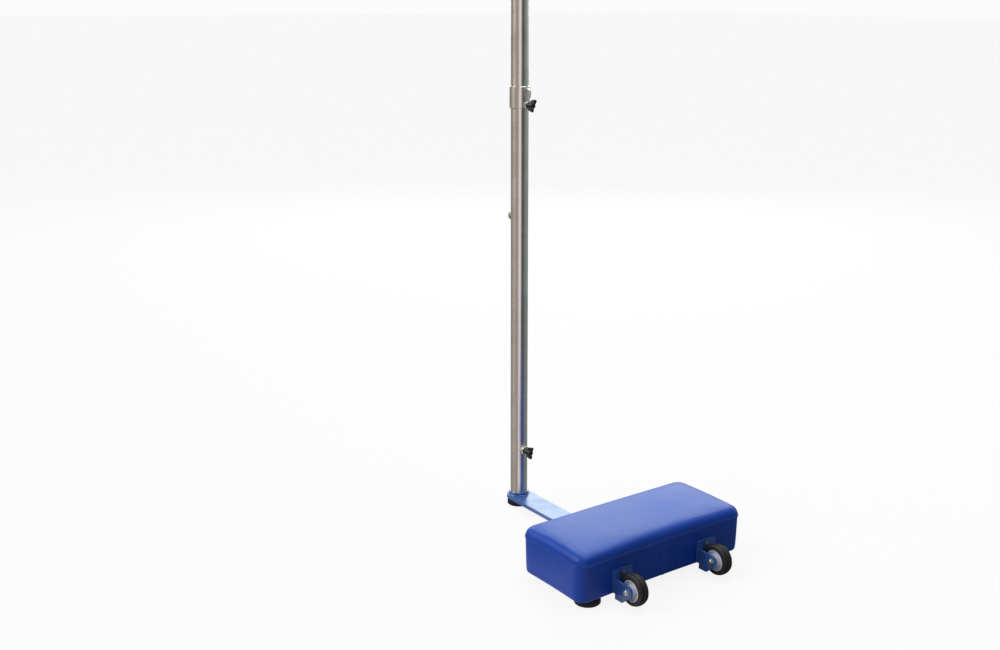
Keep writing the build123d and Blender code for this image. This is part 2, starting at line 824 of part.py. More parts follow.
def round_boss(height, diameter, length, seat_radius):
    """A drilled boss on the +X side of a round tube, its root cut to the tube."""
    with BuildPart() as boss:
        with BuildSketch(Plane.YZ):
            with Locations((0, height)):
                Circle(diameter / 2)
        extrude(amount=seat_radius + length)
        chamfer(boss.faces().sort_by(Axis.X)[-1].edges(), boss_edge)
        with BuildSketch(Plane.XY.offset(height - diameter)):
            Circle(seat_radius)
        extrude(amount=2 * diameter, mode=Mode.SUBTRACT)
        with BuildSketch(Plane.YZ):
            with Locations((0, height)):
                Circle(screw_diameter / 2 + thread_gap)
        extrude(amount=seat_radius + length, mode=Mode.SUBTRACT)
    return boss.part


def wing_screw(height, tip_x, boss_face):
    """Threaded shank of a wing screw with a turned-down tip, along X."""
    end_x = boss_face + wing_start + screw_into_wing
    with BuildPart() as shank:
        with BuildSketch(Plane.YZ.offset(tip_x)):
            with Locations((0, height)):
                Circle(screw_tip / 2)
        extrude(amount=screw_tip_length)
        with BuildSketch(Plane.YZ.offset(tip_x + screw_tip_length)):
            with Locations((0, height)):
                Circle(screw_diameter / 2)
        extrude(amount=end_x - tip_x - screw_tip_length)
    return shank.part


def wing_knob(height, boss_face, angle):
    """Moulded knob with a tapered hub and two rounded wings, bored blind for its screw."""
    start_x = boss_face + wing_start
    end_x = start_x + wing_length
    lean = radians(angle)
    wing_plane = Plane(origin=(0, 0, height), x_dir=(1, 0, 0), z_dir=(0, -cos(lean), sin(lean)))
    with BuildPart() as knob:
        with BuildSketch(Plane.YZ.offset(start_x)):
            with Locations((0, height)):
                Circle(wing_hub / 2)
        with BuildSketch(Plane.YZ.offset(end_x)):
            with Locations((0, height)):
                Circle(wing_hub_tip / 2)
        loft()
        with BuildSketch(wing_plane):
            with BuildLine():
                Polyline(
                    (start_x + wing_root / 2, 0),
                    (start_x + wing_root, wing_span / 2 - wing_corner),
                    (end_x + wing_root / 2, wing_span / 2),
                    (end_x + wing_root / 2, wing_span / 4),
                    (end_x - wing_root / 2, 0),
                    (end_x + wing_root / 2, -wing_span / 4),
                    (end_x + wing_root / 2, -wing_span / 2),
                    (start_x + wing_root, wing_corner - wing_span / 2),
                    close=True,
                )
            make_face()
        extrude(amount=wing_thickness / 2, both=True)
        across = knob.edges().filter_by(Axis(wing_plane.origin, wing_plane.z_dir))
        tips = across.filter_by(
            lambda edge: abs((edge.center() - wing_plane.origin).dot(wing_plane.y_dir)) > wing_span / 5
        )
        fillet(tips, wing_corner / 2)
        with BuildSketch(Plane.YZ.offset(start_x)):
            with Locations((0, height)):
                Circle(screw_diameter / 2 + fit_gap)
        extrude(amount=screw_into_wing + fit_gap, mode=Mode.SUBTRACT)
    return knob.part


# Boss on the tube for the lower wing screw, which holds the post on the spigot
with BuildPart() as lock_boss_part:
    add(round_boss(lock_height, lock_boss, lock_boss_length, tube_radius))
lock_boss_part.part.label = "lock_boss"
export_step(lock_boss_part.part, "parts/lock_boss.step")

with BuildPart() as lock_screw:
    add(wing_screw(lock_height, spigot_radius + tip_gap, tube_radius + lock_boss_length))
lock_screw.part.label = "lock_screw"
export_step(lock_screw.part, "parts/lock_screw.step")

with BuildPart() as lock_wing:
    add(wing_knob(lock_height, tube_radius + lock_boss_length, lock_wing_angle))
lock_wing.part.label = "lock_wing"
export_step(lock_wing.part, "parts/lock_wing.step")

# Tension collar: a steel sleeve on a plastic liner, with a boss, a hook and a wing screw
with BuildPart() as collar_liner:
    with BuildSketch(Plane.XY.offset(collar_height - collar_length / 2 + liner_inset)):
        Circle(liner_bore + liner_thickness)
        Circle(liner_bore, mode=Mode.SUBTRACT)
    extrude(amount=collar_length - 2 * liner_inset)
    with BuildSketch(Plane.YZ):
        with Locations((0, tension_z)):
            Circle(hole_radius)
    extrude(amount=tube_diameter, mode=Mode.SUBTRACT)
collar_liner.part.label = "collar_liner"
export_step(collar_liner.part, "parts/collar_liner.step")

with BuildPart() as collar_sleeve:
    with BuildSketch(Plane.XY.offset(collar_height - collar_length / 2)):
        Circle(sleeve_radius)
        Circle(liner_bore, mode=Mode.SUBTRACT)
    extrude(amount=collar_length)
    with BuildSketch(Plane.XY.offset(collar_height - collar_length / 2 + liner_inset)):
        Circle(sleeve_bore)
    extrude(amount=collar_length - 2 * liner_inset, mode=Mode.SUBTRACT)
    outer_edges = collar_sleeve.edges().filter_by(GeomType.CIRCLE)
    chamfer(outer_edges.group_by(SortBy.RADIUS)[-1], collar_edge)
    with BuildSketch(Plane.YZ):
        with Locations((0, tension_z)):
            Circle(hole_radius)
    extrude(amount=tube_diameter, mode=Mode.SUBTRACT)
collar_sleeve.part.label = "collar_sleeve"
export_step(collar_sleeve.part, "parts/collar_sleeve.step")

with BuildPart() as collar_boss:
    add(round_boss(tension_z, tension_boss, tension_boss_length, sleeve_radius))
collar_boss.part.label = "collar_boss"
export_step(collar_boss.part, "parts/collar_boss.step")

with BuildPart() as tension_screw:
    add(wing_screw(tension_z, tube_radius + tip_gap, sleeve_radius + tension_boss_length))
tension_screw.part.label = "tension_screw"
export_step(tension_screw.part, "parts/tension_screw.step")

with BuildPart() as tension_wing:
    add(wing_knob(tension_z, sleeve_radius + tension_boss_length, tension_wing_angle))
tension_wing.part.label = "tension_wing"
export_step(tension_wing.part, "parts/tension_wing.step")

# Hook for the loop of the net's head cord, a bent rod open towards the floor
hook_start = Vector(sleeve_radius - collar_edge, 0, collar_height + hook_rise)
hook_crest = Vector(sleeve_radius + hook_reach - hook_rod / 2 - hook_bend, 0, hook_start.Z)
with BuildPart() as cord_hook:
    with BuildLine() as hook_path:
        Line(hook_start, hook_crest)
        bend = ThreePointArc(
            hook_crest,
            hook_crest + Vector(hook_bend * sin(radians(45)), 0, hook_bend * (cos(radians(45)) - 1)),
            hook_crest + Vector(hook_bend, 0, -hook_bend),
        )
        run = Line(bend @ 1, bend @ 1 - Vector(0, 0, hook_drop))
        half_turn = radians(hook_curl_angle / 2)
        full_turn = radians(hook_curl_angle)
        ThreePointArc(
            run @ 1,
            run @ 1 + Vector(hook_curl * (cos(half_turn) - 1), 0, -hook_curl * sin(half_turn)),
            run @ 1 + Vector(hook_curl * (cos(full_turn) - 1), 0, -hook_curl * sin(full_turn)),
        )
    with BuildSketch(Plane(origin=hook_start, z_dir=(1, 0, 0))):
        Circle(hook_rod / 2)
    sweep()
    with BuildSketch(Plane.XY.offset(collar_height)):
        Circle(sleeve_radius)
    extrude(amount=collar_length, mode=Mode.SUBTRACT)
    chamfer(cord_hook.faces().sort_by(Axis.Z)[0].edges(), boss_edge)
cord_hook.part.label = "cord_hook"
export_step(cord_hook.part, "parts/cord_hook.step")

# Stud for the cord at the bottom of the net, on the court side of the tube
with BuildPart() as net_stud:
    with BuildSketch(Plane.XZ.offset(0)):
        with BuildLine():
            Polyline(
                (-tube_radius + stud_flange_length, stud_z),
                (-tube_radius + stud_flange_length, stud_z + stud_flange / 2),
                (-tube_radius - stud_flange_length, stud_z + stud_flange / 2),
                (-tube_radius - 2 * stud_flange_length, stud_z + stud_neck / 2),
                (-tube_radius - stud_length + stud_head_length, stud_z + stud_neck / 2),
                (-tube_radius - stud_length + stud_head_length, stud_z + stud_head / 2 - stud_edge),
                (-tube_radius - stud_length + stud_head_length - stud_edge, stud_z + stud_head / 2),
                (-tube_radius - stud_length + stud_edge, stud_z + stud_head / 2),
                (-tube_radius - stud_length, stud_z + stud_head / 2 - stud_edge),
                (-tube_radius - stud_length, stud_z),
                close=True,
            )
        make_face()
    revolve(axis=Axis((0, 0, stud_z), (1, 0, 0)))
    with BuildSketch(Plane.XY.offset(stud_z - stud_flange)):
        Circle(tube_radius)
    extrude(amount=2 * stud_flange, mode=Mode.SUBTRACT)
    with Locations(Plane(origin=(-tube_radius - stud_length, 0, stud_z), z_dir=(-1, 0, 0))):
        CounterSinkHole(
            stud_screw / 2 + hole_gap, stud_screw_head / 2 + hole_gap, counter_sink_angle=90
        )
net_stud.part.label = "net_stud"
export_step(net_stud.part, "parts/net_stud.step")

with BuildPart() as stud_screw_part:
    with BuildSketch(Plane.XY):
        with BuildLine():
            Polyline(
                (-tube_radius - stud_length, 0),
                (-tube_radius - stud_length, stud_screw_head / 2),
                (-tube_radius - stud_length + (stud_screw_head - stud_screw) / 2, stud_screw / 2),
                (insert_length - tube_radius, stud_screw / 2),
                (insert_length - tube_radius, 0),
                close=True,
            )
        make_face()
    revolve(axis=Axis.X)
with BuildPart() as net_stud_screw:
    with Locations((0, 0, stud_z)):
        add(stud_screw_part.part)
net_stud_screw.part.label = "net_stud_screw"
export_step(net_stud_screw.part, "parts/net_stud_screw.step")

# Threaded insert closed in the tube wall behind the stud
insert_seat = sqrt(tube_bore**2 - (insert_flange / 2) ** 2)
with BuildPart() as net_stud_insert:
    with BuildSketch(Plane.YZ.offset(insert_length - tube_radius)):
        with Locations((0, stud_z)):
            Circle(insert_diameter / 2)
    extrude(amount=-insert_length)
    with BuildSketch(Plane.YZ.offset(-insert_seat)):
        with Locations((0, stud_z)):
            Circle(insert_flange / 2)
    extrude(amount=insert_flange_length)
    with BuildSketch(Plane.XY.offset(stud_z - stud_flange)):
        Circle(tube_radius)
    extrude(amount=2 * stud_flange, mode=Mode.INTERSECT)
    with BuildSketch(Plane.YZ.offset(-tube_radius)):
        with Locations((0, stud_z)):
            Circle(stud_screw / 2 + thread_gap)
    extrude(amount=insert_length, mode=Mode.SUBTRACT)
net_stud_insert.part.label = "net_stud_insert"
export_step(net_stud_insert.part, "parts/net_stud_insert.step")

# Fitting in the top of the tube: a plug, a flange and two cheeks for the pulley
with BuildPart() as top_cap:
    with BuildSketch(Plane.XY.offset(tube_top)):
        Circle(tube_bore - cap_gap)
    extrude(amount=-cap_depth)
    chamfer(top_cap.faces().sort_by(Axis.Z)[0].edges(), boss_edge)
    with BuildSketch(Plane.XY.offset(tube_top)):
        Circle(tube_radius + cap_flange_proud)
    extrude(amount=cap_flange_thickness)
    cheek_run = tube_radius + cap_flange_proud - cheek_margin / 2
    cheek_top = cheek_margin + pulley_pin
    with BuildSketch(Plane.XZ):
        with BuildLine():
            Line((pulley_x - cheek_top, pulley_z), (-cheek_run, cap_top - cap_flange_thickness / 2))
            Line(
                (-cheek_run, cap_top - cap_flange_thickness / 2),
                (cheek_run, cap_top - cap_flange_thickness / 2),
            )
            Line((cheek_run, cap_top - cap_flange_thickness / 2), (pulley_x + cheek_top, pulley_z))
            ThreePointArc(
                (pulley_x + cheek_top, pulley_z),
                (pulley_x, pulley_z + cheek_top),
                (pulley_x - cheek_top, pulley_z),
            )
        make_face()
    extrude(amount=cheek_outer, both=True)
    with BuildSketch(Plane.XY.offset(cap_top)):
        Rectangle(4 * tube_radius, 2 * cheek_inner)
    extrude(amount=pulley_diameter, mode=Mode.SUBTRACT)
    with BuildSketch(Plane.XZ):
        with Locations((pulley_x, pulley_z)):
            Circle(pulley_pin / 2 + fit_gap)
    extrude(amount=tube_radius, both=True, mode=Mode.SUBTRACT)
top_cap.part.label = "top_cap"
export_step(top_cap.part, "parts/top_cap.step")

# Pulley with a round groove for the head cord
with BuildPart() as pulley:
    with BuildSketch(Plane.XY):
        with BuildLine():
            Polyline(
                (pulley_diameter / 2 - boss_edge / 2, groove_width / 2),
                (pulley_diameter / 2 - boss_edge, pulley_width / 2),
                (pulley_bush / 2 + fit_gap, pulley_width / 2),
                (pulley_bush / 2 + fit_gap, -pulley_width / 2),
                (pulley_diameter / 2 - boss_edge, -pulley_width / 2),
                (pulley_diameter / 2 - boss_edge / 2, -groove_width / 2),
            )
            ThreePointArc(
                (pulley_diameter / 2 - boss_edge / 2, -groove_width / 2),
                (groove_radius, 0),
                (pulley_diameter / 2 - boss_edge / 2, groove_width / 2),
            )
        make_face()
    revolve(axis=Axis.Y)
with BuildPart() as top_pulley:
    with Locations((pulley_x, 0, pulley_z)):
        add(pulley.part)
top_pulley.part.label = "top_pulley"
export_step(top_pulley.part, "parts/top_pulley.step")

with BuildPart() as pulley_sleeve:
    with BuildSketch(Plane.XZ):
        with Locations((pulley_x, pulley_z)):
            Circle(pulley_bush / 2)
            Circle(pulley_pin / 2 + fit_gap, mode=Mode.SUBTRACT)
    extrude(amount=cheek_inner - bush_side_gap, both=True)
pulley_sleeve.part.label = "pulley_bush"
export_step(pulley_sleeve.part, "parts/pulley_bush.step")

# Pin of the pulley, headed on the -Y side and grooved for a clip on the other
clip_face = cheek_outer + lining_gap
with BuildPart() as pin:
    with BuildSketch(Plane.XZ.offset(cheek_outer)):
        with Locations((pulley_x, pulley_z)):
            Circle(pin_head / 2)
    extrude(amount=pin_head_length)
    chamfer(pin.faces().sort_by(Axis.Y)[0].edges(), boss_edge / 2)
    with BuildSketch(Plane.XZ.offset(cheek_outer)):
        with Locations((pulley_x, pulley_z)):
            Circle(pulley_pin / 2)
    extrude(amount=-2 * cheek_outer - pin_spare)
    with BuildSketch(Plane.XZ.offset(-clip_face)):
        with Locations((pulley_x, pulley_z)):
            Circle(pulley_pin)
            Circle(pin_groove / 2, mode=Mode.SUBTRACT)
    extrude(amount=-clip_thickness, mode=Mode.SUBTRACT)
pin.part.label = "pulley_pin"
export_step(pin.part, "parts/pulley_pin.step")

with BuildPart() as pulley_clip:
    with BuildSketch(Plane.XZ.offset(-clip_face)):
        with Locations((pulley_x, pulley_z)):
            Circle(clip_diameter / 2)
            Circle(pin_groove / 2, mode=Mode.SUBTRACT)
        with Locations((pulley_x, pulley_z - clip_diameter / 2)):
            Rectangle(clip_mouth, clip_diameter, mode=Mode.SUBTRACT)
    extrude(amount=-clip_thickness)
pulley_clip.part.label = "pulley_clip"
export_step(pulley_clip.part, "parts/pulley_clip.step")
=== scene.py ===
import json
import math

import bmesh
import bpy
from mathutils import Matrix, Vector
from mathutils.bvhtree import BVHTree


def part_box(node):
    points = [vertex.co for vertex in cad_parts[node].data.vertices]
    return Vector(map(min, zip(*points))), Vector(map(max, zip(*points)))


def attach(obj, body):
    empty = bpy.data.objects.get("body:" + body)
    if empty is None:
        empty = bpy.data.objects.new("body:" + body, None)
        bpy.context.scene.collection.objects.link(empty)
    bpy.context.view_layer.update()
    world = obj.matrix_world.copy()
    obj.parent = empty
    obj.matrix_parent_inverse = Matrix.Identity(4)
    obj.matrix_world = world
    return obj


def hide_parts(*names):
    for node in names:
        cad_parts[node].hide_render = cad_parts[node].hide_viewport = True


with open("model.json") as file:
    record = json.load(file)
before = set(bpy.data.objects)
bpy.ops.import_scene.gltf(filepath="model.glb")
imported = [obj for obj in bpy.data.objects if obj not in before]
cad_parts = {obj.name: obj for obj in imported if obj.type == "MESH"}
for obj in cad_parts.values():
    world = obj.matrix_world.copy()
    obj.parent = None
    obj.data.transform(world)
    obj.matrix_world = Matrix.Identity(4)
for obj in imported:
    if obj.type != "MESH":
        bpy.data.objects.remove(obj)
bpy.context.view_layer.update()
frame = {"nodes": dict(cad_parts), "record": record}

nodes = frame["nodes"]

# Camera, placed as the photo was taken. Its numbers come from fitting the photo's outlines.
photo_width = 1000
focal_length = 1232.7  # pixels
yaw, pitch, roll = 52.85, 15.19, 0.50  # degrees
camera_data = bpy.data.cameras.new("camera")
camera = bpy.data.objects.new("camera", camera_data)
bpy.context.collection.objects.link(camera)
bpy.context.scene.camera = camera
camera_data.sensor_width = 36.0
camera_data.lens = focal_length / photo_width * 36
camera_data.shift_x = -0.0487
camera.location = (2.541, -1.828, 1.353)
aim = Matrix.Rotation(math.radians(yaw), 3, "Z") @ Matrix.Rotation(math.radians(90 - pitch), 3, "X")
camera.rotation_euler = (aim @ Matrix.Rotation(math.radians(roll), 3, "Z")).to_euler()
camera_data.clip_end = 200
bpy.context.scene.view_settings.view_transform = "Standard"


# Materials
# Sockets of the colour mix node, which share their names with its number and vector sockets
mix_first, mix_second, mix_result = 6, 7, 2


class Tree:
    """A node tree, with short calls to add and join nodes."""

    def __init__(self, tree):
        self.tree = tree

    def add(self, kind, **settings):
        node = self.tree.nodes.new(kind)
        for key, value in settings.items():
            setattr(node, key, value)
        return node

    def join(self, source, target):
        self.tree.links.new(source, target)

    def put(self, socket, value):
        """Joins a socket to another, or sets its number or its colour."""
        if isinstance(value, bpy.types.NodeSocket):
            self.join(value, socket)
        elif socket.type == "RGBA":
            socket.default_value = (*value, 1)
        else:
            socket.default_value = value

    def spread(self, value, low, high, new_low=0.0, new_high=1.0):
        """A value from one range taken to another."""
        node = self.add("ShaderNodeMapRange")
        self.put(node.inputs["Value"], value)
        ends = {"From Min": low, "From Max": high, "To Min": new_low, "To Max": new_high}
        for name, number in ends.items():
            node.inputs[name].default_value = number
        return node.outputs["Result"]

    def math(self, operation, first, second=0.0):
        node = self.add("ShaderNodeMath", operation=operation)
        self.put(node.inputs[0], first)
        self.put(node.inputs[1], second)
        return node.outputs[0]

    def surface(self, kind, color, strength=None):
        """The output of a plain shader of that kind."""
        node = self.add(kind)
        self.put(node.inputs["Color"], color)
        if strength is not None:
            self.put(node.inputs["Strength"], strength)
        return node.outputs[0]

    def choose(self, share, first, second):
        """Mixes two shaders: the first where share is 0, the second where it is 1."""
        node = self.add("ShaderNodeMixShader")
        self.put(node.inputs["Fac"], share)
        self.join(first, node.inputs[1])
        self.join(second, node.inputs[2])
        return node.outputs[0]


class Finish(Tree):
    """A material and its tree, with the textures that the finishes share."""

    def __init__(self, name):
        self.material = bpy.data.materials.new(name)
        self.material.use_nodes = True
        super().__init__(self.material.node_tree)
        self.shader = self.tree.nodes["Principled BSDF"]
        self.place = self.add("ShaderNodeTexCoord").outputs["Object"]

    def stretched(self, scale):
        """Coordinates of the rest frame, scaled by three numbers."""
        mapping = self.add("ShaderNodeMapping")
        mapping.inputs["Scale"].default_value = scale
        self.join(self.place, mapping.inputs["Vector"])
        return mapping.outputs["Vector"]

    def noise(self, scale, detail=3.0, roughness=0.5, place=None, distortion=0.0):
        node = self.add("ShaderNodeTexNoise")
        self.join(place or self.place, node.inputs["Vector"])
        node.inputs["Scale"].default_value = scale
        node.inputs["Detail"].default_value = detail
        node.inputs["Roughness"].default_value = roughness
        node.inputs["Distortion"].default_value = distortion
        return node.outputs["Fac"]

    def cells(self, scale):
        node = self.add("ShaderNodeTexVoronoi")
        self.join(self.place, node.inputs["Vector"])
        node.inputs["Scale"].default_value = scale
        return node.outputs["Distance"]

    def blend(self, share, first, second):
        """Mixes two colours: the first where share is 0, the second where it is 1."""
        node = self.add("ShaderNodeMix", data_type="RGBA")
        self.put(node.inputs["Factor"], share)
        self.put(node.inputs[mix_first], first)
        self.put(node.inputs[mix_second], second)
        return node.outputs[mix_result]

    def bump(self, height, strength, distance, below=None):
        node = self.add("ShaderNodeBump")
        node.inputs["Strength"].default_value = strength
        node.inputs["Distance"].default_value = distance
        self.join(height, node.inputs["Height"])
        if below is not None:
            self.join(below, node.inputs["Normal"])
        return node.outputs["Normal"]

    def set(self, **values):
        names = {
            "color": "Base Color", "roughness": "Roughness", "normal": "Normal", "metallic": "Metallic",
            "coat": "Coat Weight", "coat_roughness": "Coat Roughness", "specular": "Specular IOR Level",
            "sheen": "Sheen Weight", "sheen_roughness": "Sheen Roughness", "anisotropic": "Anisotropic",
            "anisotropic_turn": "Anisotropic Rotation", "tangent": "Tangent",
        }
        for key, value in values.items():
            self.put(self.shader.inputs[names[key]], value)
        return self.material


def paint(name, light, dark, rough):
    """Stoved enamel: two close shades, faint orange peel and a few dull patches."""
    n = Finish(name)
    shade = n.spread(n.noise(9, 4), 0.35, 0.65)
    speckle = n.spread(n.noise(420, 2), 0.62, 0.74, 0, 0.35)
    color = n.blend(speckle, n.blend(shade, dark, light), tuple(1.35 * c for c in light))
    dull = n.spread(n.noise(26, 5, 0.6), 0.42, 0.72, rough, rough + 0.14)
    peel = n.bump(n.noise(310, 2), 0.10, 0.0006)
    normal = n.bump(n.noise(28, 2), 0.06, 0.002, below=peel)
    return n.set(color=color, roughness=dull, normal=normal, coat=0.45, coat_roughness=0.12)


def steel(name, light, dark, rough, lines=(1, 1, 1), line_scale=900, line_strength=0.05, round_polish=False):
    """Bright steel with fine lines from polishing or turning, and slight smears.

    With round_polish, reflections are drawn out along the tube, as a belt that runs round it leaves them.
    """
    n = Finish(name)
    fine = n.noise(line_scale, 3, 0.6, place=n.stretched(lines))
    smear = n.noise(14, 4, 0.6)
    color = n.blend(n.spread(smear, 0.3, 0.7), dark, light)
    color = n.blend(n.spread(fine, 0.35, 0.7, 0, 0.25), color, dark)
    smeared = n.spread(smear, 0.3, 0.75, rough, rough + 0.07)
    roughness = n.math("ADD", smeared, n.spread(fine, 0.3, 0.7, 0, 0.05))
    normal = n.bump(fine, line_strength, 0.0003)
    if round_polish:
        around = n.add("ShaderNodeTangent", direction_type="RADIAL", axis="Z")
        n.set(tangent=around.outputs["Tangent"], anisotropic_turn=0.25, anisotropic=0.88)
    return n.set(color=color, roughness=roughness, normal=normal, metallic=1.0)


def rubber(name, light, dark, rough):
    """Moulded rubber with a matt grain, dust in the hollows and mottling."""
    n = Finish(name)
    mottle = n.spread(n.noise(38, 5, 0.65), 0.35, 0.7)
    dust = n.spread(n.noise(190, 3, 0.7), 0.56, 0.78, 0, 0.4)
    color = n.blend(dust, n.blend(mottle, dark, light), tuple(2.1 * c for c in light))
    normal = n.bump(n.noise(1040, 3, 0.6), 0.28, 0.0005)
    roughness = n.spread(mottle, 0, 1, rough - 0.06, rough + 0.08)
    return n.set(color=color, roughness=roughness, normal=normal, specular=0.25)


def plastic(name, light, dark, rough, grain=1100, depth=0.14):
    """Moulded plastic with a fine spark-eroded grain."""
    n = Finish(name)
    cloud = n.spread(n.noise(45, 4, 0.6), 0.35, 0.68)
    color = n.blend(cloud, dark, light)
    fleck = n.spread(n.noise(700, 2), 0.6, 0.8, 0, 0.3)
    color = n.blend(fleck, color, tuple(1.6 * c for c in light))
    normal = n.bump(n.cells(grain), depth, 0.0003)
    return n.set(color=color, roughness=n.spread(cloud, 0, 1, rough, rough + 0.1), normal=normal)


def cast_iron(name):
    """Sand-cast iron with rust here and there."""
    n = Finish(name)
    sand = n.noise(330, 5, 0.7)
    rust = n.spread(n.noise(21, 6, 0.7), 0.56, 0.72, 0, 0.5)
    color = n.blend(rust, n.blend(sand, (0.035, 0.035, 0.038), (0.085, 0.083, 0.083)), (0.16, 0.062, 0.024))
    return n.set(color=color, roughness=n.spread(sand, 0.3, 0.7, 0.6, 0.85), metallic=0.6,
                 normal=n.bump(sand, 0.5, 0.0011))


def plywood(name):
    """Film-faced board: brown film with a fine wire print and paler worn spots."""
    n = Finish(name)
    grain = n.noise(26, 6, 0.7, place=n.stretched((1, 9, 1)))
    wire = n.math("MULTIPLY", n.cells(560), n.spread(grain, 0.3, 0.7, 0.7, 1))
    color = n.blend(n.spread(grain, 0.35, 0.7), (0.052, 0.028, 0.016), (0.12, 0.066, 0.036))
    color = n.blend(n.spread(n.noise(14, 5), 0.62, 0.75, 0, 0.5), color, (0.30, 0.20, 0.11))
    return n.set(color=color, roughness=n.spread(grain, 0.3, 0.7, 0.4, 0.62),
                 normal=n.bump(wire, 0.25, 0.0005))


def foam(name):
    """Foam with open pores, darkened towards each pore's middle as painted shade inside the pores."""
    n = Finish(name)
    pores = n.cells(520)
    # Painted shade: the colour goes darker towards each pore's middle, where the bump below dips into the
    # pore
    color = n.blend(n.spread(pores, 0.1, 0.6), (0.34, 0.31, 0.22), (0.66, 0.62, 0.47))
    return n.set(color=color, roughness=n.spread(n.noise(60), 0.3, 0.7, 0.85, 0.98),
                 normal=n.bump(pores, 0.7, 0.0012))


def vinyl(name, light, dark, rough):
    """Coated fabric: pressed leather grain with painted shade in its dimples, the scrim faintly through it,
    and soft scuffs.
    """
    n = Finish(name)
    cloud = n.spread(n.noise(7, 4, 0.55), 0.34, 0.68)
    grain = n.cells(640)
    pits = n.noise(1500, 2)
    color = n.blend(cloud, dark, light)
    # Painted shade: darker in the middle of each grain cell, where the grain bump below dips
    color = n.blend(n.spread(grain, 0.05, 0.55, 0.28, 0), color, tuple(0.62 * c for c in dark))
    scuff = n.spread(n.noise(34, 6, 0.72, distortion=0.6), 0.60, 0.76, 0, 0.22)
    color = n.blend(scuff, color, (0.03, 0.13, 0.50))
    clouded = n.spread(cloud, 0, 1, rough - 0.03, rough + 0.04)
    roughness = n.math("ADD", clouded, n.spread(scuff, 0, 0.22, 0, 0.12))
    scrim = n.math("MULTIPLY", n.noise(240, 1, place=n.stretched((1, 0.12, 1))),
                   n.noise(240, 1, place=n.stretched((0.12, 1, 1))))
    waves = n.bump(n.noise(16, 3, 0.5), 0.16, 0.006)
    woven = n.bump(scrim, 0.18, 0.0007, below=waves)
    fine = n.bump(pits, 0.06, 0.0003, below=woven)
    normal = n.bump(grain, 0.20, 0.0004, below=fine)
    return n.set(color=color, roughness=roughness, normal=normal, specular=0.32)


def thread(name, light, dark):
    """Polyester sewing thread, twisted."""
    n = Finish(name)
    twist = n.noise(2600, 2, place=n.stretched((1, 1, 2.4)))
    color = n.blend(n.spread(twist, 0.35, 0.65), dark, light)
    return n.set(color=color, roughness=n.spread(n.noise(90), 0.3, 0.7, 0.5, 0.7),
                 normal=n.bump(twist, 0.5, 0.0003), sheen=0.3, sheen_roughness=0.4)


finishes = {
    "blue_paint": paint("blue_paint", (0.048, 0.135, 0.455), (0.036, 0.108, 0.395), 0.26),
    "polished_steel": steel(
        "polished_steel", (0.82, 0.785, 0.75), (0.73, 0.70, 0.665), 0.22,
        lines=(1, 1, 0.01), round_polish=True),
    "plain_steel": steel("plain_steel", (0.46, 0.45, 0.43), (0.34, 0.33, 0.32), 0.30, lines=(0.02, 0.02, 1)),
    "zinc_steel": steel(
        "zinc_steel", (0.66, 0.66, 0.62), (0.52, 0.54, 0.53), 0.28, line_scale=300, line_strength=0.12),
    "iron": cast_iron("iron"),
    "board": plywood("board"),
    "foam": foam("foam"),
    "vinyl": vinyl("vinyl", (0.005, 0.064, 0.455), (0.003, 0.050, 0.395), 0.40),
    "black_rubber": rubber("black_rubber", (0.013, 0.012, 0.015), (0.006, 0.006, 0.007), 0.58),
    "tyre_rubber": rubber("tyre_rubber", (0.046, 0.038, 0.041), (0.026, 0.021, 0.023), 0.50),
    "rim": plastic("rim", (0.80, 0.80, 0.90), (0.70, 0.70, 0.82), 0.30, 700, 0.10),
    "white_nylon": plastic("white_nylon", (0.80, 0.79, 0.75), (0.70, 0.69, 0.64), 0.34),
    "black_plastic": plastic("black_plastic", (0.015, 0.015, 0.017), (0.008, 0.008, 0.009), 0.30),
}
thread_finish = thread("blue_thread", (0.10, 0.20, 0.56), (0.05, 0.12, 0.42))

for part in frame["record"]["subparts"]:
    node = nodes[part["node"]]
    node.data.materials.clear()
    node.data.materials.append(finishes[part["material_slot"]])


def own_mesh(name, mesh_bmesh, finish, smooth=True):
    """An object of its own from a bmesh, which is used up."""
    mesh = bpy.data.meshes.new(name)
    mesh_bmesh.to_mesh(mesh)
    mesh_bmesh.free()
    if smooth:
        mesh.polygons.foreach_set("use_smooth", [True] * len(mesh.polygons))
    obj = bpy.data.objects.new(name, mesh)
    bpy.context.collection.objects.link(obj)
    mesh.materials.append(finish)
    return obj


# Padded cover, in metres, over the CAD's own
low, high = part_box("vinyl_cover")
middle_x = (low.x + high.x) / 2
half_x = (high.x - low.x) / 2
half_y = (high.y - low.y) / 2
cover_bottom = low.z
cover_top = high.z
corner = 0.030  # radius of the upright corners
edge = 0.020  # radius of the top edge
dome = 0.004  # rise of the top panel, along and across
hem = 0.0115  # width of the hem turned in below
hem_edge = 0.005
lean = 0.003
step = 0.0065  # mesh spacing
corner_step = 0.0025
seam_half = 0.0035  # from the seam to the rows of stitches
skin = 0.0016
slot_gap = 0.0005
arm_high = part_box("base_arm")[1]
slot_side = arm_high.y + slot_gap
slot_top = arm_high.z + slot_gap
welt_low, welt_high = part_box("cover_welt")
welt_z = (welt_low.z + welt_high.z) / 2
plates = [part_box("wheel_bracket_left"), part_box("wheel_bracket_right")]
corner_x, corner_y = half_x - corner, half_y - corner
inner_x, inner_y = half_x - edge, half_y - edge


def even(start, end, size):
    """Points from start to end, both kept, no further apart than size."""
    count = max(1, math.ceil(abs(end - start) / size))
    return [start + (end - start) * i / count for i in range(count + 1)]


def mirrored(values):
    """The values and their opposites, in order, each once."""
    return sorted(set([-v for v in values] + list(values)))


